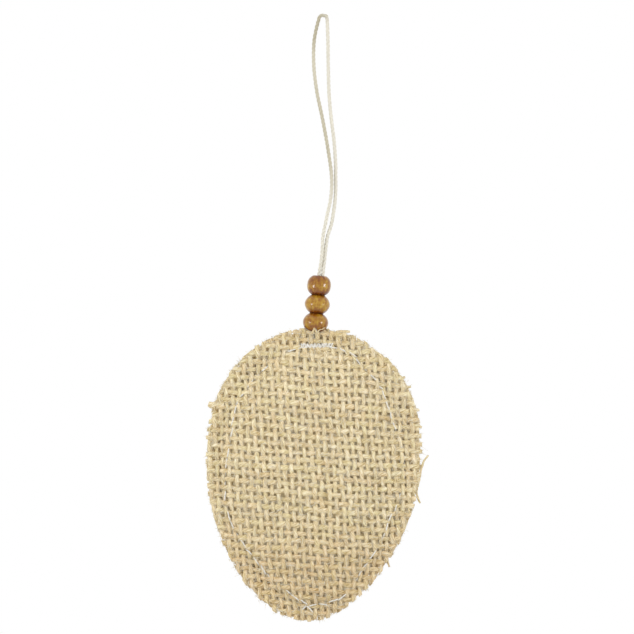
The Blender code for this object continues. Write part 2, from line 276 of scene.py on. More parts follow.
def egg_point(across, down):
    """The same, as a place across and up in the egg's own plane."""
    local = EGG_PLACE.inverted() @ photo_point(across, down)
    return local.x, local.z


def egg_points(pixels):
    """The same for several pixels, as points of that plane."""
    return [Vector((*egg_point(*pixel), 0.0)) for pixel in pixels]


def smoothstep(value):
    value = min(max(value, 0.0), 1.0)
    return value * value * (3.0 - 2.0 * value)


# Materials


class Value:
    """A shader socket whose arithmetic adds Math nodes."""

    def __init__(self, nodes, socket):
        self.nodes = nodes
        self.socket = socket

    def math(self, operation, first, second=0.0):
        return self.nodes.node("ShaderNodeMath", {"operation": operation}, {0: first, 1: second})

    def __add__(self, other):
        return self.math("ADD", self, other)

    def __sub__(self, other):
        return self.math("SUBTRACT", self, other)

    def __rsub__(self, other):
        return self.math("SUBTRACT", other, self)

    def __mul__(self, other):
        return self.math("MULTIPLY", self, other)

    __radd__ = __add__
    __rmul__ = __mul__


class Nodes:
    """The shader nodes of a material or of the world. Every one of them comes from node()."""

    def __init__(self, owner):
        owner.use_nodes = True
        self.tree = owner.node_tree
        self.tree.nodes.clear()

    def node(self, kind, settings, sockets, output=0):
        """Adds a node: its settings first, then a value or a link for each socket named."""
        made = self.tree.nodes.new(kind)
        for name, value in settings.items():
            if name == "stops":
                self.set_stops(made.color_ramp, value)
            else:
                setattr(made, name, value)
        for name, value in sockets.items():
            if isinstance(value, Value):
                self.tree.links.new(value.socket, made.inputs[name])
            else:
                made.inputs[name].default_value = value
        return Value(self, made.outputs[output]) if made.outputs else made

    @staticmethod
    def set_stops(ramp, stops):
        while len(ramp.elements) < len(stops):
            ramp.elements.new(1.0)
        for element, (position, colour) in zip(ramp.elements, stops):
            element.position = position
            element.color = colour

    def seen(self):
        """1 for what the camera sees, straight or by reflection or through glass, and 0 for light."""
        camera, mirror, glass = (
            self.node("ShaderNodeLightPath", {}, {}, output="Is %s Ray" % kind)
            for kind in ("Camera", "Glossy", "Transmission")
        )
        return camera.math("MAXIMUM", camera.math("MAXIMUM", camera, mirror), glass)


class Finish(Nodes):
    """A material being built."""

    def __init__(self, name):
        self.material = bpy.data.materials.new(name)
        super().__init__(self.material)

    def along_and_around(self):
        """The piece's own map: metres along its strand, and the share of a turn round it."""
        flat = self.node("ShaderNodeUVMap", {"uv_map": "UVMap"}, {})
        parts = ("ShaderNodeSeparateXYZ", {}, {"Vector": flat})
        return self.node(*parts), self.node(*parts, output=1)

    def vector(self, x, y, z=0.0):
        return self.node("ShaderNodeCombineXYZ", {}, {"X": x, "Y": y, "Z": z})

    def attribute(self, name):
        return self.node("ShaderNodeAttribute", {"attribute_name": name}, {}, output="Fac")

    def clouds(self, vector, scale, detail=3.0, roughness=0.55):
        sockets = {"Vector": vector, "Scale": scale, "Detail": detail, "Roughness": roughness}
        return self.node("ShaderNodeTexNoise", {}, sockets)

    def ramp(self, share, stops):
        return self.node("ShaderNodeValToRGB", {"stops": stops}, {"Fac": share})

    def mix(self, share, first, second, blend="MIX"):
        settings = {"data_type": "RGBA", "blend_type": blend}
        return self.node("ShaderNodeMix", settings, {0: share, 6: first, 7: second}, output=2)

    def bump(self, height, distance):
        sockets = {"Height": height, "Distance": distance, "Strength": 1.0}
        return self.node("ShaderNodeBump", {}, sockets)

    def surface(self, colour, roughness, specular, **more):
        """Ends the material with a Principled shader. More sockets are named with underscores."""
        sockets = {"Base Color": colour, "Roughness": roughness, "Specular IOR Level": specular}
        sockets.update((name.replace("_", " "), value) for name, value in more.items())
        shader = self.node("ShaderNodeBsdfPrincipled", {}, sockets)
        self.node("ShaderNodeOutputMaterial", {}, {"Surface": shader})
        return self.material


def srgb(red, green, blue):
    """A colour as it looks on screen, 0 to 255, in the renderer's linear values."""
    linear = [((v / 255 + 0.055) / 1.055) ** 2.4 for v in (red, green, blue)]
    return (*linear, 1.0)


def jute_finish(name, dark, middle, pale):
    """Spun jute: streaks of fibre that wind round the yarn, and a tone of its own for each yarn. The
    cloth is painted darker and yellower towards the egg's tip, as painted shade where it faces downward,
    and a little yellower along its top edge."""
    finish = Finish(name)
    along, around = finish.along_and_around()
    wound = around + along * (1.0 / (YARN_TWIST_PITCH * YARN_LOBES))
    streaks = finish.clouds(finish.vector(along * 420.0, wound * 10.0), 1.0, 5.0, 0.7)
    patches = finish.clouds(finish.vector(along * 260.0, around * 1.5), 1.0, 2.0)
    tone = finish.attribute("tone") * 0.12 + patches * 0.45 + (streaks - 0.5) * 2.3 + 0.22
    base = finish.ramp(tone, ((0.15, dark), (0.5, middle), (0.85, pale)))
    tint = finish.clouds(finish.vector(along * 170.0, around + 9.0), 1.0, 2.0)
    tint_stops = ((0.36, srgb(251, 252, 244)), (0.5, WHITE), (0.64, srgb(255, 250, 247)))
    tints = finish.ramp(tint, tint_stops)
    place = finish.node("ShaderNodeTexCoord", {}, {}, output="Object")
    height = finish.node("ShaderNodeSeparateXYZ", {}, {"Vector": place}, output="Z")
    # Painted shade: darker and yellower towards the egg's tip, where the cloth faces downward; a little
    # yellower along the top edge
    stops = (
        (0.20, srgb(247, 240, 233)),
        (0.36, WHITE),
        (0.93, WHITE),
        (0.97, srgb(251, 247, 239)),
    )
    height_shade_and_tint = finish.ramp((height - cad_low.z) * (1.0 / (EGG_RISE + EGG_DROP)), stops)
    colour = finish.mix(1.0, finish.mix(1.0, base, tints, "MULTIPLY"), height_shade_and_tint, "MULTIPLY")
    bump = finish.bump(streaks, 0.0002)
    sheen = {"Sheen_Weight": 0.12, "Sheen_Roughness": 0.5}
    return finish.surface(colour, roughness=0.88, specular=0.25, Normal=bump, **sheen)


def fibre_finish(name, dark, pale):
    """Single fibres, with only a change of tone along them."""
    finish = Finish(name)
    along, _ = finish.along_and_around()
    tone = finish.clouds(finish.vector(along * 300.0, finish.attribute("tone") * 40.0), 1.0)
    colour = finish.ramp(tone, ((0.3, dark), (0.7, pale)))
    return finish.surface(colour, roughness=0.7, specular=0.3)


def wadding_finish():
    """Matted wadding."""
    finish = Finish("wadding")
    place = finish.node("ShaderNodeTexCoord", {}, {}, output="Object")
    tufts = finish.clouds(place, 900.0, 5.0, 0.65)
    colour = finish.ramp(tufts, ((0.3, srgb(218, 199, 154)), (0.7, srgb(248, 234, 198))))
    return finish.surface(colour, roughness=0.95, specular=0.1, Normal=finish.bump(tufts, 0.0004))


def twisted_finish(name, dark, pale, lay_length, plies, roughness, shade_length=0.0):
    """Twisted thread or cord: fine threads that wind the way its plies do. Given a length for them, it
    is
    painted greyer in bands along it: painted shade on the loop's left strand and near the loop's top."""
    finish = Finish(name)
    along, around = finish.along_and_around()
    wound = around + along * (1.0 / lay_length)
    fibres = finish.clouds(finish.vector(along * 500.0, wound * 6.0), 1.0, 3.0)
    ridges = wound.math("SINE", wound * (2 * math.pi * plies))
    colour = finish.ramp(fibres, ((0.3, dark), (0.7, pale)))
    if shade_length:
        # Painted shade: greyer bands on the loop's left strand and near the loop's top
        stops = (
            (0.220, WHITE),
            (0.280, srgb(225, 222, 210)),
            (0.350, srgb(225, 222, 210)),
            (0.400, srgb(238, 236, 228)),
            (0.430, srgb(238, 236, 228)),
            (0.452, srgb(212, 208, 194)),
            (0.486, srgb(212, 208, 194)),
            (0.505, WHITE),
        )
        painted_shade = finish.ramp(along * (1.0 / shade_length), stops)
        colour = finish.mix(1.0, colour, painted_shade, "MULTIPLY")
    bump = finish.bump(fibres * 0.6 + ridges * 0.25, 0.00008)
    return finish.surface(colour, roughness, specular=0.35, Sheen_Weight=0.1, Normal=bump)


def bead_finish():
    """Stained beech under varnish: grain along the bore, and darker towards the bore's ends, partly from
    stain gathered there and partly as painted shade, strongest at the bottom end.
    """
    finish = Finish("varnished wood")
    along, around = finish.along_and_around()
    seed = finish.attribute("tone") * 37.0
    turn = around * (2 * math.pi)
    cosine, sine = turn.math("COSINE", turn), turn.math("SINE", turn)
    grain = finish.clouds(finish.vector(cosine * 6.0 + seed, sine * 6.0, along * 260.0), 1.0, 4.0, 0.6)
    stain = finish.clouds(finish.vector(cosine * 2.2 + seed, sine * 2.2, along * 620.0), 1.0, 4.0, 0.6)
    # Painted shade and stain: darker towards the bore's ends, most at the bottom end
    tone = (stain - 0.5) + (grain - 0.5) * 0.5 + 0.59 - finish.attribute("soaked") * 0.62
    stops = (
        (0.08, srgb(56, 12, 2)),
        (0.34, srgb(117, 57, 2)),
        (0.56, srgb(149, 96, 5)),
        (0.84, srgb(190, 151, 47)),
    )
    colour, bump = finish.ramp(tone, stops), finish.bump(grain, 0.00002)
    coat = {"Coat_Weight": 1.0, "Coat_Roughness": 0.13, "Coat_IOR": 1.5}
    return finish.surface(colour, roughness=0.33, specular=0.08, Normal=bump, **coat)


# Shapes of the egg


def level(across, up, half_width, rise, drop, top_roundness, tip_roundness):
    """How far out a point lies on an egg: 0 at its middle, 1 on its outline."""
    height, power = (rise, top_roundness) if up >= 0 else (drop, tip_roundness)
    return (abs(across / half_width) ** power + abs(up / height) ** power) ** (1.0 / power)


def cut_stray(across, up):
    """How far out the raw edge lies in the direction of a point, or of many points at once."""
    directions, shares = zip(*CUT_STRAYS)
    return np.interp(np.degrees(np.arctan2(up, across)), directions, shares)


def edge_level(across, up):
    """Level on the egg of the raw edge."""
    egg = level(across, up, EGG_WIDTH / 2, EGG_RISE, EGG_DROP, EGG_TOP_ROUNDNESS, EGG_TIP_ROUNDNESS)
    return egg / cut_stray(across, up)


def seam_level(across, up):
    """Level on the egg of the seam."""
    return level(
        across,
        up + SEAM_WAIST_DROP,
        EGG_WIDTH / 2 - SEAM_MARGIN,
        EGG_HANG - SEAM_MARGIN + SEAM_WAIST_DROP,
        EGG_DROP - SEAM_MARGIN - SEAM_WAIST_DROP,
        SEAM_TOP_ROUNDNESS,
        SEAM_TIP_ROUNDNESS,
    )


def on_seam(angle, share=1.0):
    """The point (across, up) in a direction from the seam egg's middle, at a share of its size."""
    across, up = math.cos(angle), math.sin(angle)
    reach = share / seam_level(across, up - SEAM_WAIST_DROP)
    return across * reach, up * reach - SEAM_WAIST_DROP


def puff(share):
    """How full the pad is at a share of the seam egg: 1 in the middle, 0 on the seam."""
    return 1.0 - min(share, 1.0) ** PAD_CROWN


def new_object(name, data, material=None):
    obj = bpy.data.objects.new(name, data)
    bpy.context.scene.collection.objects.link(obj)
    if material:
        data.materials.append(material)
    return obj


def mesh_from(bm, name):
    """A new mesh from a bmesh, which is then freed."""
    mesh = bpy.data.meshes.new(name)
    bm.to_mesh(mesh)
    bm.free()
    return mesh


def set_shade(mesh, name, values):
    """Gives each point of a mesh a value that its material reads."""
    mesh.attributes.new(name, "FLOAT", "POINT").data.foreach_set("value", values)


def evaluated_mesh(obj):
    """A copy of an object's mesh with its modifiers applied."""
    graph = bpy.context.evaluated_depsgraph_get()
    graph.update()
    return bpy.data.meshes.new_from_object(obj.evaluated_get(graph))


def slack_pad():
    """The wadding before it swells, in the seam's outline and at the simulation's scale."""
    bm = bmesh.new()
    bmesh.ops.create_uvsphere(bm, u_segments=72, v_segments=24, radius=1.0)
    for vert in bm.verts:
        share = min(math.hypot(vert.co.x, vert.co.y), 1.0)
        across, up = on_seam(math.atan2(vert.co.y, vert.co.x), share * PAD_REACH)
        half = PAD_THICKNESS / 2 * PAD_SLACK * puff(share) + PAD_VOXEL * 0.6
        side = math.copysign(1.0, vert.co.z) if abs(vert.co.z) > 1e-6 else 0.0
        vert.co = Vector((across, side * half, up)) * SIMULATION_SCALE
    bm.normal_update()
    bmesh.ops.recalc_face_normals(bm, faces=bm.faces)
    return new_object("slack_pad", mesh_from(bm, "slack_pad"))


def swell_by_simulation(obj):
    """Blows the pad up as cloth held along the seam, and returns where its points come to."""
    pins = obj.vertex_groups.new(name="seam")
    for vert in obj.data.vertices:
        share = seam_level(vert.co.x / SIMULATION_SCALE, vert.co.z / SIMULATION_SCALE)
        if share > PINNED_SHARE:
            pins.add([vert.index], 1.0, "REPLACE")
    cloth = obj.modifiers.new("wadding", "CLOTH").settings
    cloth.vertex_group_mass = "seam"
    cloth.use_pressure = True
    cloth.uniform_pressure_force = 4.0
    cloth.quality = 5
    cloth.tension_stiffness = 12.0
    cloth.compression_stiffness = 12.0
    cloth.bending_stiffness = 0.4
    cloth.effector_weights.gravity = 0.0
    scene = bpy.context.scene
    for number in range(1, SIMULATION_FRAMES + 1):
        scene.frame_set(number)
    swelled = evaluated_mesh(obj)
    scene.frame_set(1)
    return swelled


def points_of(mesh):
    found = np.empty(len(mesh.vertices) * 3)
    mesh.vertices.foreach_get("co", found)
    return found.reshape(-1, 3)


def make_wadding(material):
    """The pad that shows between the yarns, swelled and then kept to its cap."""
    slack = slack_pad()
    remesh = slack.modifiers.new("even", "REMESH")
    remesh.mode = "VOXEL"
    remesh.voxel_size = PAD_VOXEL * SIMULATION_SCALE
    slack_mesh = evaluated_mesh(slack)
    bpy.data.objects.remove(slack)
    pad = new_object("wadding_pad", slack_mesh, material)
    start = points_of(slack_mesh)
    moved = points_of(swell_by_simulation(pad))
    shift = moved - start
    reach = np.linalg.norm(shift, axis=1, keepdims=True)
    shift *= np.minimum(1.0, SWELL_CAP * SIMULATION_SCALE / np.maximum(reach, 1e-9))
    pad.modifiers.clear()
    slack_mesh.vertices.foreach_set("co", ((start + shift) / SIMULATION_SCALE).ravel())
    bm = bmesh.new()
    bm.from_mesh(slack_mesh)
    for _ in range(4):
        bmesh.ops.smooth_vert(
            bm, verts=bm.verts, factor=0.5, use_axis_x=True, use_axis_y=True, use_axis_z=True
        )
    bm.to_mesh(slack_mesh)
    tree = BVHTree.FromBMesh(bm)
    bm.free()
    slack_mesh.shade_smooth()
    slack_mesh.transform(EGG_PLACE)
    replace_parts(pad, "wadding")
    return pad, tree


class ClothFace:
    """Where one face of the padded egg lies: how far out of the egg's plane at each point of it."""

    STEP = 0.001
    LOW = (-0.040, -0.060)
    COUNT = (81, 106)

    def __init__(self, side, pad_tree):
        self.side = side
        heights = self.sampled(lambda across, up: self.pad_height(across, up, pad_tree))
        for _ in range(3):
            total = heights[1:-1, 1:-1] * 2 + heights[:-2, 1:-1] + heights[2:, 1:-1]
            heights[1:-1, 1:-1] = (total + heights[1:-1, :-2] + heights[1:-1, 2:]) / 6
        self.heights = heights + self.sampled(self.pucker)

    def sampled(self, height_at):
        """What height_at gives at each sample of the grid."""
        columns, rows = (
            [low + number * self.STEP for number in range(count)]
            for low, count in zip(self.LOW, self.COUNT)
        )
        return np.array([[height_at(across, up) for up in rows] for across in columns])

    def pad_height(self, across, up, tree):
        if seam_level(across, up) > 1.0:
            return 0.0
        start = Vector((across, self.side * 0.05, up))
        hit = tree.ray_cast(start, Vector((0.0, -self.side, 0.0)))[0]
        return max(0.0, hit.y * self.side) if hit else 0.0

    def pucker(self, across, up):
        """The pinch along the seam, small gathers inside it, and the raw margin's lift."""
        share = seam_level(across, up)
        turn = math.atan2(up + SEAM_WAIST_DROP, across)
        near = math.exp(-(((share - 1.0) / 0.035) ** 2))
        gathers = noise.noise(Vector((turn * 5.5, share * 2.0, 3.0 * self.side)))
        inside = smoothstep((share - 0.55) / 0.4) * (1.0 if share < 1.0 else 0.4)
        flare = smoothstep((share - 1.03) / 0.12)
        lift = 0.5 + noise.noise(Vector((turn * 3.0, 7.0, self.side)))
        return GATHER_DEPTH * gathers * inside - SEAM_PINCH * near + MARGIN_LIFT * flare * lift

    def height(self, across, up):
        """Height at a point, between the four nearest samples."""
        column = (across - self.LOW[0]) / self.STEP
        row = (up - self.LOW[1]) / self.STEP
        i = min(max(int(column), 0), self.COUNT[0] - 2)
        j = min(max(int(row), 0), self.COUNT[1] - 2)
        s, t = column - i, row - j
        grid = self.heights
        low = grid[i, j] * (1 - s) + grid[i + 1, j] * s
        high = grid[i, j + 1] * (1 - s) + grid[i + 1, j + 1] * s
        return low * (1 - t) + high * t

    def normal(self, across, up):
        """Outward normal in the egg's frame."""
        reach = self.STEP
        slope_across = (self.height(across + reach, up) - self.height(across - reach, up)) / (2 * reach)
        slope_up = (self.height(across, up + reach) - self.height(across, up - reach)) / (2 * reach)
        return Vector((-slope_across, self.side, -slope_up)).normalized()

    def point(self, across, up, lift):
        """A point above the face, and the normal there."""
        normal = self.normal(across, up)
        base = Vector((across, self.side * self.height(across, up), up))
        return base + normal * lift, normal


# Yarns


class Strand:
    """A line of points with the surface normal and half width at each. Nothing of it shows past the
    level on the egg where it is cut, which is one number, or one for each point."""

    def __init__(self, points, normals, half_widths, flatness, tone, cut=UNCUT):
        self.points = points
        self.normals = normals
        self.half_widths = half_widths
        self.flatness = flatness
        self.tone = tone
        self.cut = cut


def levels(points):
    """Levels on the egg of the raw edge, for many points at once."""
    height = np.where(points[:, 2] >= 0, EGG_RISE, EGG_DROP)
    power = np.where(points[:, 2] >= 0, EGG_TOP_ROUNDNESS, EGG_TIP_ROUNDNESS)
    across = np.abs(points[:, 0] / (EGG_WIDTH / 2)) ** power
    egg = (across + np.abs(points[:, 2] / height) ** power) ** (1.0 / power)
    return egg / cut_stray(points[:, 0], points[:, 2])


def per_point(strands, name):
    """One of the strands' values, repeated for each of their points."""
    return np.concatenate([np.full(len(s.points), getattr(s, name)) for s in strands])


def make_tubes(name, strands, sides_setting, material, lobe=0.0, place=EGG_PLACE):
    """Round tubes along strands, joined into one piece, then flattened against the cloth and given
    the lobes of their twist. sides_setting is the curve's bevel resolution."""
    curve = bpy.data.curves.new(name, "CURVE")
    curve.dimensions = "3D"
    curve.bevel_depth = 1.0
    curve.bevel_resolution = sides_setting
    curve.twist_mode = "MINIMUM"
    for strand in strands:
        spline = curve.splines.new("POLY")
        spline.points.add(len(strand.points) - 1)
        spline.points.foreach_set("co", [v for p in strand.points for v in (*p, 1.0)])
        spline.points.foreach_set("radius", strand.half_widths)
    guide = new_object(name + "_line", curve)
    mesh = bpy.data.meshes.new_from_object(guide)
    bpy.data.objects.remove(guide)
    shape_tubes(mesh, strands, lobe)
    close_ends(mesh)
    mesh.transform(place)
    mesh.shade_smooth()
    mesh.name = name
    return new_object(name, mesh, material)


def shape_tubes(mesh, strands, lobe):
    """Moves each ring's points: the lobes of the twist, the flattening, and the cut."""
    centres = np.array([p for strand in strands for p in strand.points])
    normals = np.array([n for strand in strands for n in strand.normals])
    flatness = per_point(strands, "flatness")
    along = []
    for strand in strands:
        line = np.array(strand.points)
        steps = np.linalg.norm(np.diff(line, axis=0), axis=1)
        along.append(np.concatenate([[0.0], np.cumsum(steps)]) + strand.tone * MAP_SHIFT)
    along = np.concatenate(along)
    rings = len(centres)
    offsets = points_of(mesh).reshape(rings, -1, 3) - centres[:, None]
    sides = offsets.shape[1]
    turn = 2 * math.pi * np.arange(sides) / sides
    if lobe:
        phase = 2 * math.pi * along[:, None] / YARN_TWIST_PITCH
        offsets *= (1.0 + lobe * np.sin(YARN_LOBES * turn + phase))[..., None]
    outward = (offsets * normals[:, None]).sum(axis=2, keepdims=True)
    offsets -= (1.0 - flatness)[:, None, None] * outward * normals[:, None]
    shaped = (centres[:, None] + offsets).reshape(-1, 3)
    cut = np.repeat(per_point(strands, "cut"), sides)
    share = np.minimum(1.0, cut / np.maximum(levels(shaped), 1e-6))
    shaped[:, 0] *= share
    shaped[:, 2] *= share
    mesh.vertices.foreach_set("co", shaped.ravel())
    corners = np.empty(len(mesh.loops), dtype=int)
    mesh.loops.foreach_get("vertex_index", corners)
    uv = np.empty(len(mesh.loops) * 2)
    mesh.uv_layers[0].data.foreach_get("uv", uv)
    uv = uv.reshape(-1, 2)
    uv[:, 0] = along[corners // sides]
    mesh.uv_layers[0].data.foreach_set("uv", uv.ravel())
    set_shade(mesh, "tone", np.repeat(per_point(strands, "tone"), sides))


def close_ends(mesh):
    """Fills the open end of each tube."""
    bm = bmesh.new()
    bm.from_mesh(mesh)
    bmesh.ops.holes_fill(bm, edges=[edge for edge in bm.edges if edge.is_boundary], sides=0)
    bmesh.ops.recalc_face_normals(bm, faces=bm.faces)
    bm.to_mesh(mesh)
    bm.free()


def weave_place(column, row, side):
    """Where a warp (column) and a weft (row) meet, in the egg's plane, on cloth that is pulled
    slightly out of square. The back panel lies half a pitch aside."""
    if side == BACK:
        column, row = column + 0.5, row + 0.5
    across = column * WARP_PITCH - math.tan(WARP_LEAN) * row * WEFT_PITCH
    up = (EGG_HANG - EGG_DROP) / 2 + row * WEFT_PITCH - math.tan(WEFT_SLOPE) * column * WARP_PITCH
    where = Vector((across * WEAVE_WANDER_SCALE, up * WEAVE_WANDER_SCALE, 11.0 * side))
    across += WEAVE_WANDER * noise.noise(where)
    up += WEAVE_WANDER * noise.noise(where + Vector((0.0, 0.0, 40.0)))
    return across, up


def crimp(column, row):
    """1 where the warp lies on top of the weft, -1 where it lies under it."""
    wave = math.cos(math.pi * (column + row))
    return wave * (1.2 - 0.2 * wave * wave)


def yarn_swell(seed, distance):
    """Thick and thin places along a spun yarn, round 1."""
    slow = noise.noise(Vector((distance * 70.0, seed * 3.3, 0.5)))
    quick = noise.noise(Vector((distance * 260.0, seed * 5.1, 9.5)))
    return 1.0 + 0.22 * slow + 0.26 * quick


def lay_yarn(face, number, is_warp, draw):
    """One yarn of the panel from raw edge to raw edge, or None where the cut misses it."""
    step = YARN_STEP / (WEFT_PITCH if is_warp else WARP_PITCH)
    spread = draw.uniform(*YARN_SPREAD)
    wander_seed = draw.uniform(0.0, 90.0)
    cut = draw.uniform(*YARN_CUTS) - (BACK_TRIM if face.side == BACK else 0.0)
    half_width = (WARP_HALF_WIDTH if is_warp else WEFT_HALF_WIDTH) * spread
    points, normals, widths, cuts = [], [], [], []
    for count in range(int(2 * YARN_REACH / step)):
        place = count * step - YARN_REACH
        column, row = (number, place) if is_warp else (place, number)
        across, up = weave_place(column, row, face.side)
        aside = YARN_WANDER * noise.noise(Vector((place * 0.6, wander_seed, 2.0)))
        if is_warp:
            across += aside
        else:
            up += aside
        beside_edge = (math.cos if is_warp else math.sin)(math.atan2(up, across)) ** 2
        own_cut = cut - EDGE_FRAY * beside_edge
        if edge_level(across, up) > own_cut + CUT_OVERRUN:
            continue
        wave = crimp(column, row)
        lift = CLOTH_LIFT + (WARP_CRIMP * wave if is_warp else -WEFT_CRIMP * wave)
        point, normal = face.point(across, up, lift)
        points.append(point)
        normals.append(normal)
        widths.append(half_width * yarn_swell(wander_seed, place * step))
        cuts.append(own_cut)
    if len(points) * YARN_STEP < SHORTEST_YARN:
        return None
    flatness = (WARP_FLATNESS if is_warp else WEFT_FLATNESS) / math.sqrt(spread)
    tone = draw.random() * 0.5 + (0.5 if is_warp else 0.0)
    return Strand(points, normals, widths, flatness, tone, cuts)


def lay_panel(face, seed):
    """All the yarns of one panel."""
    draw = random.Random(seed)
    columns = math.ceil(EGG_WIDTH / 2 / WARP_PITCH) + 4
    rows = math.ceil((EGG_RISE + EGG_DROP) / 2 / WEFT_PITCH) + 3
    laid = [lay_yarn(face, number, True, draw) for number in range(-columns, columns + 1)]
    laid += [lay_yarn(face, number, False, draw) for number in range(-rows, rows + 1)]
    return [strand for strand in laid if strand]


def fibre(start, heading, length, curl, half_width, draw, normal, cut=UNCUT):
    """One loose fibre that curls as it goes."""
    count = 3
    points, aim = [start], heading.normalized()
    for _ in range(count):
        turn = Vector([draw.uniform(-1, 1) for _ in range(3)])
        aim = (aim + turn * curl).normalized()
        points.append(points[-1] + aim * (length / count))
    widths = [half_width * (1.0 - 0.2 * n) for n in range(count + 1)]
    return Strand(points, [normal] * (count + 1), widths, 1.0, draw.random(), cut)


def end_tufts(strands, seed):
    """Fibres that splay from the cut ends of the yarns."""
    draw = random.Random(seed)
    found = []
    for strand in strands:
        for end, before in ((0, 2), (-1, -3)):
            tip, normal = strand.points[end], strand.normals[end]
            heading = (tip - strand.points[before]).normalized()
            across = heading.cross(normal)
            for _ in range(draw.randint(2, 4)):
                aside = draw.uniform(-1.0, 1.0)
                start = tip - heading * 0.0006 + across * aside * strand.half_widths[end] * 0.8
                aim = heading + across * aside * 0.7 + normal * draw.uniform(-0.3, 0.4)
                length = draw.uniform(0.0003, 0.0008) * (2.2 if draw.random() < 0.05 else 1.0)
                found.append(fibre(start, aim, length, 0.22, draw.uniform(4e-5, 9e-5), draw, normal))
    return found


def yarn_fibres(strands, count, seed):
    """Fibres that have worked loose and lie along their yarn, some of them over the mesh beside it."""
    draw = random.Random(seed)
    lengths = [len(strand.points) for strand in strands]
    found = []
    for strand in draw.choices(strands, lengths, k=count):
        start = draw.randrange(len(strand.points) - 1)
        reach = draw.randint(4, 9)
        ahead = draw.random() < 0.5
        way = strand.points[start : start + reach] if ahead else strand.points[start::-1][:reach]
        if len(way) < 3:
            continue
        aside = draw.uniform(-1.6, 1.6)
        drift = draw.uniform(-0.5, 0.5)
        wave = draw.uniform(0.0, 9.0)
        points, normals = [], []
        for number in range(0, len(way), 2):
            normal = strand.normals[start]
            across = (way[-1] - way[0]).cross(normal).normalized()
            off = aside + drift * number / reach + 0.25 * math.sin(wave + number)
            half = strand.half_widths[start]
            height = half * strand.flatness * math.sqrt(max(0.0, 1.0 - off * off)) + FIBRE_LIFT
            points.append(way[number] + across * half * off + normal * height)
            normals.append(normal)
        widths = [draw.uniform(*FIBRE_HALF_WIDTHS)] * len(points)
        found.append(Strand(points, normals, widths, 1.0, draw.random(), FIBRE_CUT))
    return found


def surface_fuzz(face, count, seed):
    """Fine hairs that lie over the cloth and stand out of it."""
    draw = random.Random(seed)
    found = []
    while len(found) < count:
        across = draw.uniform(-EGG_WIDTH / 2, EGG_WIDTH / 2)
        up = draw.uniform(-EGG_DROP, EGG_RISE)
        if edge_level(across, up) > 1.0:
            continue
        start, normal = face.point(across, up, CLOTH_LIFT + draw.uniform(-0.0001, 0.0006))
        spin = draw.uniform(0.0, 2 * math.pi)
        aim = Vector((math.cos(spin), 0.0, math.sin(spin))) + normal * draw.uniform(-0.1, 0.2)
        length = draw.uniform(0.0010, 0.0038)
        cut = draw.uniform(0.995, 1.012) if draw.random() < 0.93 else UNCUT
        half_width = draw.uniform(*FIBRE_HALF_WIDTHS)
        found.append(fibre(start, aim, length, 0.3, half_width, draw, normal, cut))
    return found


def stray_yarns(face, seed):
    """The loose yarn ends that stand out of the raw edge in the photograph."""
    draw = random.Random(seed)
    found = []
    for half_width, height, pixels in STRAY_YARNS:
        guide = egg_points(pixels)
        points, normals = [], []
        for place in evenly_spaced(smooth_line(guide, 6), 0.0004):
            lift = height + 0.0001 * noise.noise(place * 900.0)
            points.append(Vector((place.x, face.side * lift, place.y)))
            normals.append(Vector((0.0, face.side, 0.0)))
        last = len(points) - 1
        tapers = [1.0 - 0.35 * (number / last) ** 3 for number in range(last + 1)]
        widths = [half_width * taper * draw.uniform(0.9, 1.1) for taper in tapers]
        found.append(Strand(points, normals, widths, 0.7, draw.random()))
    return found


# Cord and beads


def smooth_line(points, parts):
    """Points on a smooth curve through the given ones."""
    padded = [2 * points[0] - points[1]] + points + [2 * points[-1] - points[-2]]
    fine = []
    for before, start, end, after in zip(padded, padded[1:], padded[2:], padded[3:]):
        for part in range(parts):
            t = part / parts
            square = 2 * before - 5 * start + 4 * end - after
            cube = 3 * start - 3 * end + after - before
            fine.append(0.5 * (2 * start + (end - before) * t + square * t**2 + cube * t**3))
    fine.append(points[-1])
    return fine


def strand_route(side, loop_points):
    """One strand's own points: its tail in the egg, the way through the beads, and its side of the
    loop."""
    lifts = [-TAIL_LENGTH, -TAIL_LENGTH / 2] + [STACK_HEIGHT * share for share in (0.0, 0.33, 0.67, 1.0)]
    route = []
    for lift in lifts:
        lean = BORE_LEAN * max(0.0, lift / STACK_HEIGHT) ** 2
        route.append(STACK_PLACE @ Vector((side * STRAND_OFFSET + lean, 0.0, lift)))
    return route + [Vector((x, y, -share * LOOP_DROP)) for x, y, share in loop_points]


def loop_bend(turn):
    """A point of the bend over the hook: 0 degrees is its top, 90 its right end."""
    across, up = math.sin(math.radians(turn)), math.cos(math.radians(turn))
    middle = CORD_DIAMETER / 2 - LOOP_BEND_RADIUS + LOOP_BEND_RISE
    return Vector((LOOP_BEND_X + LOOP_BEND_RADIUS * across, 0.0, middle + LOOP_BEND_RADIUS * up))


def evenly_spaced(line, step):
    """Points a near-equal distance apart along a line, its two ends among them."""
    line = np.array(line)
    along = np.concatenate([[0.0], np.cumsum(np.linalg.norm(np.diff(line, axis=0), axis=1))])
    wanted = np.linspace(0.0, along[-1], max(2, round(along[-1] / step) + 1))
    return [Vector(p) for p in np.column_stack([np.interp(wanted, along, axis) for axis in line.T])]


def frames_along(line):
    """Two directions square to a line at each of its points, turned as little as possible."""
    side, pairs = Vector((0.0, 1.0, 0.0)), []
    for number, point in enumerate(line):
        ahead = line[min(number + 1, len(line) - 1)] - line[max(number - 1, 0)]
        ahead.normalize()
        side = (side - ahead * side.dot(ahead)).normalized()
        pairs.append((side, ahead.cross(side)))
    return pairs


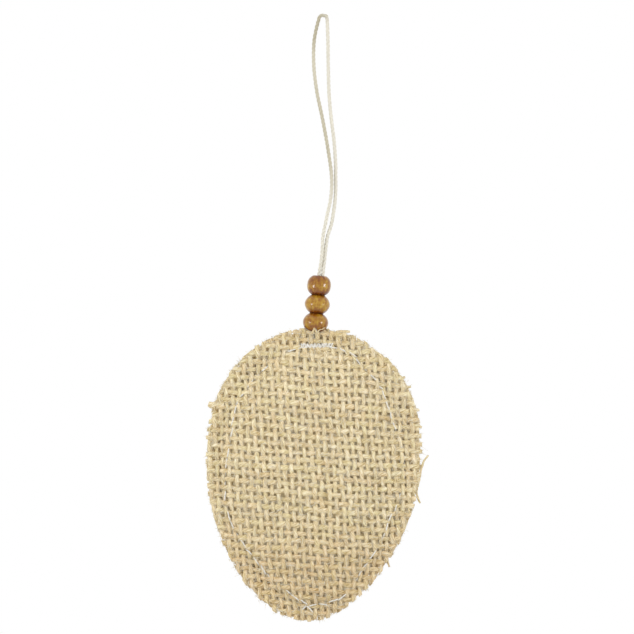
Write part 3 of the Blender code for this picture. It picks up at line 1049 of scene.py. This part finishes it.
def plied(line, diameter, lay_length, plies):
    """The plies of a twisted cord along a line."""
    ply = diameter / 2 / (1.0 + 1.0 / math.sin(math.pi / plies))
    reach = diameter / 2 - ply
    pairs = frames_along(line)
    found = []
    for number in range(plies):
        points, travelled = [], 0.0
        for index, (point, (side, up)) in enumerate(zip(line, pairs)):
            if index:
                travelled += (point - line[index - 1]).length
            turn = 2 * math.pi * (travelled / lay_length + number / plies)
            points.append(point + (side * math.cos(turn) + up * math.sin(turn)) * reach)
        count = len(points)
        found.append(Strand(points, [up] * count, [ply * 1.22] * count, 1.0, 0.0))
    return found


def make_cord(material):
    """The hanging cord, from one tail in the egg over the hook and back to the other."""
    route = strand_route(-1, LEFT_STRAND)
    route += [loop_bend(turn) for turn in LOOP_BEND_TURNS]
    route += strand_route(1, RIGHT_STRAND)[::-1]
    line = evenly_spaced(smooth_line(route, 12), 0.00035)
    plies = plied(line, CORD_DIAMETER, CORD_LAY_LENGTH, 3)
    cord = make_tubes("twisted_cord", plies, 2, material, place=Matrix.Identity(4))
    length = sum((b - a).length for a, b in zip(line, line[1:]))
    return cord, line, length


def bead_profile(diameter, height, fullness):
    """Half section of a turned bead from the top of its bore outwards and back. Fullness is 2 for an
    ellipse, less for a pointed side and more for a square one."""
    radius, half = diameter / 2, height / 2
    crown = half / (1.0 - (BEAD_FLAT_RADIUS / radius) ** fullness) ** (1.0 / fullness)
    arc = []
    for step in range(33):
        rise = math.sin(math.pi / 2 * (1.0 - step / 16))
        across = (1.0 - abs(rise * half / crown) ** fullness) ** (1.0 / fullness)
        arc.append((radius * across, half * rise))
    chamfer = 0.0003
    top = [(BORE_RADIUS, half - 2 * chamfer), (BORE_RADIUS + 0.4 * chamfer, half - 0.5 * chamfer)]
    top.append((BORE_RADIUS + chamfer, half))
    return top + arc + [(x, -z) for x, z in reversed(top)]


def make_bead(name, diameter, height, fullness, lift, tone, paleness, material):
    """A turned bead with its own map: metres up it, and the share of a turn round it. The wood round
    its bore is darker, partly from more stain and partly as painted shade where the beads touch and
    under each bead, strongest at its bottom end; a pale bead has taken less stain."""
    bm = bmesh.new()
    profile = bead_profile(diameter, height, fullness)
    verts = [bm.verts.new((x, 0.0, z)) for x, z in profile]
    edges = [bm.edges.new((a, b)) for a, b in zip(verts, verts[1:] + verts[:1])]
    lathe = {"axis": (0.0, 0.0, 1.0), "angle": 2 * math.pi, "steps": 64}
    bmesh.ops.spin(bm, geom=verts + edges, cent=(0.0, 0.0, 0.0), use_merge=True, **lathe)
    bm.normal_update()
    bmesh.ops.recalc_face_normals(bm, faces=bm.faces)
    uv = bm.loops.layers.uv.new("UVMap")
    for face in bm.faces:
        middle = face.calc_center_median()
        centre_turn = math.atan2(middle.y, middle.x)
        for loop in face.loops:
            turn = math.atan2(loop.vert.co.y, loop.vert.co.x)
            turn += 2 * math.pi * round((centre_turn - turn) / (2 * math.pi))
            loop[uv].uv = (loop.vert.co.z, turn / (2 * math.pi))
    mesh = mesh_from(bm, name)
    points = points_of(mesh)
    set_shade(mesh, "tone", np.full(len(points), tone))
    # Painted shade and stain: darker towards both ends of the bore, over three times as much at the
    # bottom end, which faces away from the light above and meets what lies below
    rim_stain_and_shade = (np.abs(points[:, 2]) / (height / 2)) ** 3.5 * (0.65 - 0.35 * np.sign(points[:, 2]))
    set_shade(mesh, "soaked", rim_stain_and_shade - paleness)
    mesh.transform(STACK_PLACE @ Matrix.Translation((0.0, 0.0, lift + height / 2)))
    mesh.shade_smooth()
    mesh.set_sharp_from_angle(angle=math.radians(50))
    return new_object(name, mesh, material)


# Seam


class Relief:
    """The woven surface as it can be touched: where a point pressed onto the egg comes to rest."""

    def __init__(self, face, panel):
        self.face = face
        bm = bmesh.new()
        bm.from_mesh(panel.data)
        self.tree = BVHTree.FromBMesh(bm)
        bm.free()

    def height(self, across, up):
        """Distance out of the egg's plane of the yarn under a point."""
        start = EGG_PLACE @ Vector((across, self.face.side * 0.03, up))
        aim = EGG_PLACE.to_3x3() @ Vector((0.0, -self.face.side, 0.0))
        hit = self.tree.ray_cast(start, aim, 0.03)[0]
        if hit is None:
            return self.face.height(across, up)
        return (EGG_PLACE.inverted() @ hit).y * self.face.side


def stitch(relief, start, end, draw, sink):
    """One stitch: a thread drawn tight between two holes, over or among the yarns."""
    count = 8
    side = relief.face.side
    across = np.linspace(start[0], end[0], count + 1)
    up = np.linspace(start[1], end[1], count + 1)
    touch = [relief.height(a, u) for a, u in zip(across, up)]
    line = max(touch[2:-2]) * 0.5 + sorted(touch)[len(touch) // 2] * 0.5
    points, normals = [], []
    for number, (a, u) in enumerate(zip(across, up)):
        share = number / count
        dive = max(0.0, abs(2 * share - 1.0) - 0.5) / 0.5
        height = line + THREAD_HALF_WIDTH - sink - STITCH_DIVE * dive * dive
        jitter = draw.uniform(-6e-5, 6e-5)
        points.append(Vector((a + jitter, side * height, u + jitter)))
        normals.append(relief.face.normal(a, u))
    return Strand(points, normals, [THREAD_HALF_WIDTH] * (count + 1), 0.9, draw.random())


def seam_stitches(relief, seed):
    """The machine seam round one face."""
    draw = random.Random(seed)
    holes = evenly_spaced(smooth_line(egg_points(SEAM_COURSE), 8), STITCH_LENGTH)
    (plain,) = egg_points([PLAIN_STITCHES])
    found = []
    for a, b in zip(holes, holes[1:]):
        sink = draw.choice(STITCH_SINKS)
        if ((a + b) / 2 - plain).length < PLAIN_STITCH_REACH:
            sink = 0.0
        start, end = ([v + draw.uniform(-HOLE_SCATTER, HOLE_SCATTER) for v in p.xy] for p in (a, b))
        found.append(stitch(relief, start, end, draw, sink))
    for pixels in SEAM_TAILS:
        start, end = (egg_point(*pixel) for pixel in pixels)
        found.append(stitch(relief, start, end, draw, 0.0))
    return found


def bar_tack(relief, seed):
    """Rows of stitches over the cord's two ends, crossed by a close zigzag."""
    draw = random.Random(seed)
    left, right = Vector(egg_point(*BAR_TACK_LEFT)), Vector(egg_point(*BAR_TACK_RIGHT))

    def hole(share, lift):
        place = left.lerp(right, share) + Vector((0.0, lift))
        return place + Vector([draw.uniform(-BAR_TACK_SCATTER, BAR_TACK_SCATTER) for _ in range(2)])

    found = []
    for lift in BAR_TACK_ROWS:
        shares = [number / BAR_TACK_HOLES for number in range(BAR_TACK_HOLES + 1)]
        for a, b in zip(shares, shares[1:]):
            found.append(stitch(relief, hole(a, lift), hole(b, lift), draw, draw.uniform(0.0, 3e-4)))
    for number in range(BAR_TACK_CROSSINGS):
        tilt = BAR_TACK_RISE / 2 * (1 if number % 2 else -1)
        start = hole(number / BAR_TACK_CROSSINGS, -tilt)
        end = hole((number + 1) / BAR_TACK_CROSSINGS, tilt)
        found.append(stitch(relief, start, end, draw, draw.uniform(-2e-4, 2e-4)))
    return found


# Stage


def make_camera():
    """A long lens, level with the middle of the photograph and square to the egg."""
    data = bpy.data.cameras.new("camera")
    data.lens = LENS_MM
    data.sensor_width = SENSOR_MM
    camera = new_object("camera", data)
    middle = photo_point(PHOTO_MIDDLE, PHOTO_MIDDLE)
    distance = PHOTO_SIDE * PIXEL * LENS_MM / SENSOR_MM
    camera.location = middle + Vector((0.0, -distance, 0.0))
    camera.rotation_euler = (math.pi / 2, 0.0, 0.0)
    bpy.context.scene.camera = camera


def softbox(name, azimuth, elevation, distance, size, power, mirrored):
    """A square lamp aimed at the middle of the object. Azimuth 0 is the camera's side. One that isn't
    mirrored leaves no highlight."""
    data = bpy.data.lights.new(name, "AREA")
    data.shape = "RECTANGLE"
    data.size, data.size_y = size
    data.energy = power
    lamp = new_object(name, data)
    lamp.visible_glossy = mirrored
    turn, rise = math.radians(azimuth), math.radians(elevation)
    aim = Vector((math.sin(turn) * math.cos(rise), -math.cos(turn) * math.cos(rise), math.sin(rise)))
    middle = photo_point(PHOTO_MIDDLE, PHOTO_MIDDLE)
    lamp.location = middle + aim * distance
    lamp.rotation_euler = aim.to_track_quat("Z", "Y").to_euler()


def make_floor():
    """A pale disc below the egg. It lifts itself to white for the camera and keeps the shadow."""
    bm = bmesh.new()
    bmesh.ops.create_circle(bm, segments=96, radius=0.4, cap_ends=True)
    mesh = mesh_from(bm, "floor")
    mesh.transform(Matrix.Translation((0.0, 0.0, cad_low.z - FLOOR_DROP)))
    finish = Finish("pale floor")
    paper = finish.node("ShaderNodeBsdfDiffuse", {}, {"Color": (0.65, 0.65, 0.65, 1.0)})
    glow = finish.node("ShaderNodeEmission", {}, {"Strength": finish.seen() * FLOOR_GLOW})
    both = finish.node("ShaderNodeAddShader", {}, {0: paper, 1: glow})
    finish.node("ShaderNodeOutputMaterial", {}, {"Surface": both})
    floor = new_object("floor", mesh, finish.material)


def make_world():
    """An even pale surround that the camera and reflections see as white."""
    world = bpy.data.worlds.new("studio")
    bpy.context.scene.world = world
    nodes = Nodes(world)
    strength = nodes.seen() * (1.0 - AMBIENT) + AMBIENT
    sockets = {"Color": WHITE, "Strength": strength}
    background = nodes.node("ShaderNodeBackground", {}, sockets)
    nodes.node("ShaderNodeOutputWorld", {}, {"Surface": background})


def main():
    bpy.context.scene.view_settings.view_transform = "Standard"
    make_camera()
    make_world()
    for lamp in LAMPS:
        softbox(*lamp)
    make_floor()

    jute = jute_finish("jute yarn", srgb(180, 155, 103), srgb(231, 213, 170), srgb(254, 245, 218))
    loose = fibre_finish("loose jute fibre", srgb(200, 182, 142), srgb(255, 250, 234))
    thread = twisted_finish("sewing thread", srgb(224, 220, 210), srgb(250, 247, 240), 0.0009, 2, 0.6)
    cotton_tones = srgb(219, 214, 198), srgb(238, 234, 221)
    cotton = twisted_finish("cotton cord", *cotton_tones, 0.0007, 1, 0.55, PAINTED_SHADE_LENGTH)

    cord, line, length = make_cord(cotton)
    wood = bead_finish()
    beads, lift = [], 0.0
    for number, (node, diameter, height, fullness) in enumerate(BEADS):
        name = "turned_" + node
        seed = 0.15 + 0.3 * number
        bead = make_bead(name, diameter, height, fullness, lift, seed, BEAD_PALENESS[number], wood)
        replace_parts(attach(bead, "root"), node)
        beads.append(bead)
        lift += height
    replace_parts(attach(cord, "root"), "hanging_cord")
    tuple(line[0])
    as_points(line)
    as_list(beads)

    pad, pad_tree = make_wadding(wadding_finish())
    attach(pad, "root")
    for side, word in ((FRONT, "front"), (BACK, "back")):
        face = ClothFace(side, pad_tree)
        yarns = lay_panel(face, SEEDS["panel"] + side)
        panel = make_tubes(word + "_jute_panel", yarns, 3, jute, lobe=0.04)
        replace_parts(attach(panel, "root"), "jute_" + word)
        if side == FRONT:
            strays = stray_yarns(face, SEEDS["strays"] + side)
            loose_ends = make_tubes("stray_yarns", strays, 2, jute, lobe=0.1)
            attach(loose_ends, "root")
            yarns = yarns + strays
        tufts = make_tubes(word + "_edge_tufts", end_tufts(yarns, SEEDS["tufts"] + side), 0, loose)
        hairs = yarn_fibres(yarns, YARN_FIBRES, SEEDS["fibres"] + side)
        hairs += surface_fuzz(face, FACE_HAIRS, SEEDS["hairs"] + side)
        fuzz = make_tubes(word + "_surface_fuzz", hairs, 0, loose)
        relief = Relief(face, panel)
        stitches = seam_stitches(relief, SEEDS["seam"] + side)
        seam = make_tubes(word + "_seam_stitches", stitches, 1, thread)
        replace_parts(seam, "seam_thread_" + word)
        tack = make_tubes(word + "_bar_tack", bar_tack(relief, SEEDS["tack"] + side), 1, thread)
        pieces = ((tufts, "jute"), (fuzz, "jute"), (seam, "sewing_thread"), (tack, "sewing_thread"))
        for piece, slot in pieces:
            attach(piece, "root")


main()
